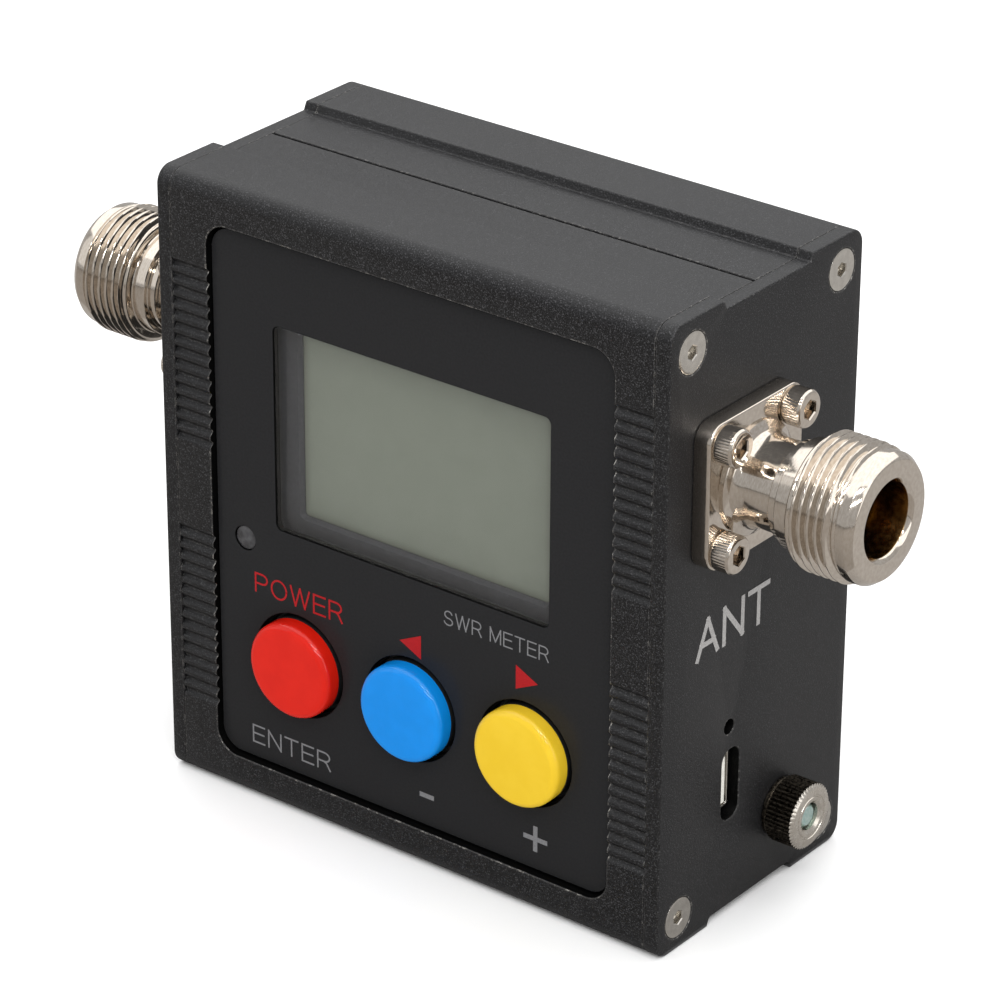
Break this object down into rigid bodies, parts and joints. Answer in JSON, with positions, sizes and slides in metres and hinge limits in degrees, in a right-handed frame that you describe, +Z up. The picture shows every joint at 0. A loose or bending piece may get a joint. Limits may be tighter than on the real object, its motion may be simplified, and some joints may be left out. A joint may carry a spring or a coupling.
{
  "type": "radio SWR meter",
  "caption": "Handheld radio SWR and power meter: ribbed metal case, display and push keys on the front, a coaxial socket at each end, a charging socket and an earth terminal.",
  "frame": {"origin": "on the plane the case stands on, below the middle of the whole object's width and depth", "axes": "+X along the line between the coaxial sockets, towards the antenna socket; -Y out of the front panel; +Z up, from the keys to the display"},
  "size_m": [0.111, 0.0374, 0.0776],
  "materials": {
    "black_anodised": "bead-blasted, black anodised",
    "printed_panel": "satin black with printed lettering",
    "clear_acrylic": "polished",
    "display_glass": "grey-green, polarised",
    "grey_plastic": "moulded",
    "white_plastic": "moulded",
    "black_plastic": "moulded",
    "red_plastic": "glossy moulded",
    "blue_plastic": "glossy moulded",
    "yellow_plastic": "glossy moulded",
    "smoked_lens": "clear, unlit",
    "circuit_board": "green solder mask",
    "bright_nickel": "bright nickel plate",
    "bright_steel": "stainless, polished",
    "zinc_plate": "blue zinc plate",
    "gold_plate": "gold plate",
    "bare_copper": "bare copper",
    "ferrite": "dull sintered",
    "white_ptfe": "waxy white",
    "battery_wrap": "foil pouch",
    "foam": "closed-cell foam"
  },
  "bodies": {
    "case": {"front_shell": "black_anodised", "rear_shell": "black_anodised", "left_end_plate": "black_anodised", "right_end_plate": "black_anodised", "label_panel": "printed_panel", "display_window": "clear_acrylic", "display_frame": "grey_plastic", "display_glass": "display_glass", "display_backlight": "white_plastic", "status_light_lens": "smoked_lens", "red_key_switch": "black_plastic", "blue_key_switch": "black_plastic", "yellow_key_switch": "black_plastic", "main_board": "circuit_board", "coupler_board": "circuit_board", "charging_board": "circuit_board", "board_spacer_1": "bright_nickel", "board_spacer_2": "bright_nickel", "board_spacer_3": "bright_nickel", "board_spacer_4": "bright_nickel", "battery": "battery_wrap", "battery_pad": "foam", "usb_socket_shell": "bright_steel", "usb_socket_tongue": "black_plastic", "charge_light": "white_plastic", "antenna_socket": "bright_nickel", "antenna_socket_insulator": "white_ptfe", "antenna_socket_contact": "gold_plate", "antenna_flange_screw_1": "bright_steel", "antenna_flange_screw_2": "bright_steel", "antenna_flange_screw_3": "bright_steel", "antenna_flange_screw_4": "bright_steel", "transmitter_socket": "bright_nickel", "transmitter_socket_insulator": "white_ptfe", "transmitter_socket_contact": "gold_plate", "transmitter_flange_screw_1": "bright_steel", "transmitter_flange_screw_2": "bright_steel", "transmitter_flange_screw_3": "bright_steel", "transmitter_flange_screw_4": "bright_steel", "right_plate_screw_1": "bright_steel", "right_plate_screw_2": "bright_steel", "right_plate_screw_3": "bright_steel", "right_plate_screw_4": "bright_steel", "left_plate_screw_1": "bright_steel", "left_plate_screw_2": "bright_steel", "left_plate_screw_3": "bright_steel", "left_plate_screw_4": "bright_steel", "through_line": "bare_copper", "reflected_ferrite_core": "ferrite", "forward_ferrite_core": "ferrite", "earth_stud": "zinc_plate"},
    "red_key": {"red_key_cap": "red_plastic", "red_key_plunger": "black_plastic"},
    "blue_key": {"blue_key_cap": "blue_plastic", "blue_key_plunger": "black_plastic"},
    "yellow_key": {"yellow_key_cap": "yellow_plastic", "yellow_key_plunger": "black_plastic"},
    "earth_washer": {"earth_washer": "bright_nickel"},
    "earth_nut": {"earth_nut": "bright_nickel"}
  },
  "joints": [
    {"name": "red_key_press", "type": "slide", "parent": "case", "child": "red_key", "axis": [0, 1, 0], "range_m": [0, 0.0005], "stiffness_N_per_m": 1500},
    {"name": "blue_key_press", "type": "slide", "parent": "case", "child": "blue_key", "axis": [0, 1, 0], "range_m": [0, 0.0005], "stiffness_N_per_m": 1500},
    {"name": "yellow_key_press", "type": "slide", "parent": "case", "child": "yellow_key", "axis": [0, 1, 0], "range_m": [0, 0.0005], "stiffness_N_per_m": 1500},
    {"name": "earth_washer_travel", "type": "slide", "parent": "case", "child": "earth_washer", "axis": [1, 0, 0], "range_m": [0, 0.001]},
    {"name": "earth_nut_turn", "type": "hinge", "parent": "earth_washer", "child": "earth_nut", "pos_m": [0.0385, 0.0061, 0.00975], "axis": [1, 0, 0], "range_deg": [0, 720]}
  ],
  "couplings": [
    {"joint": "earth_nut_turn", "follows": "earth_washer_travel", "rad_per_m": 12566}
  ]
}
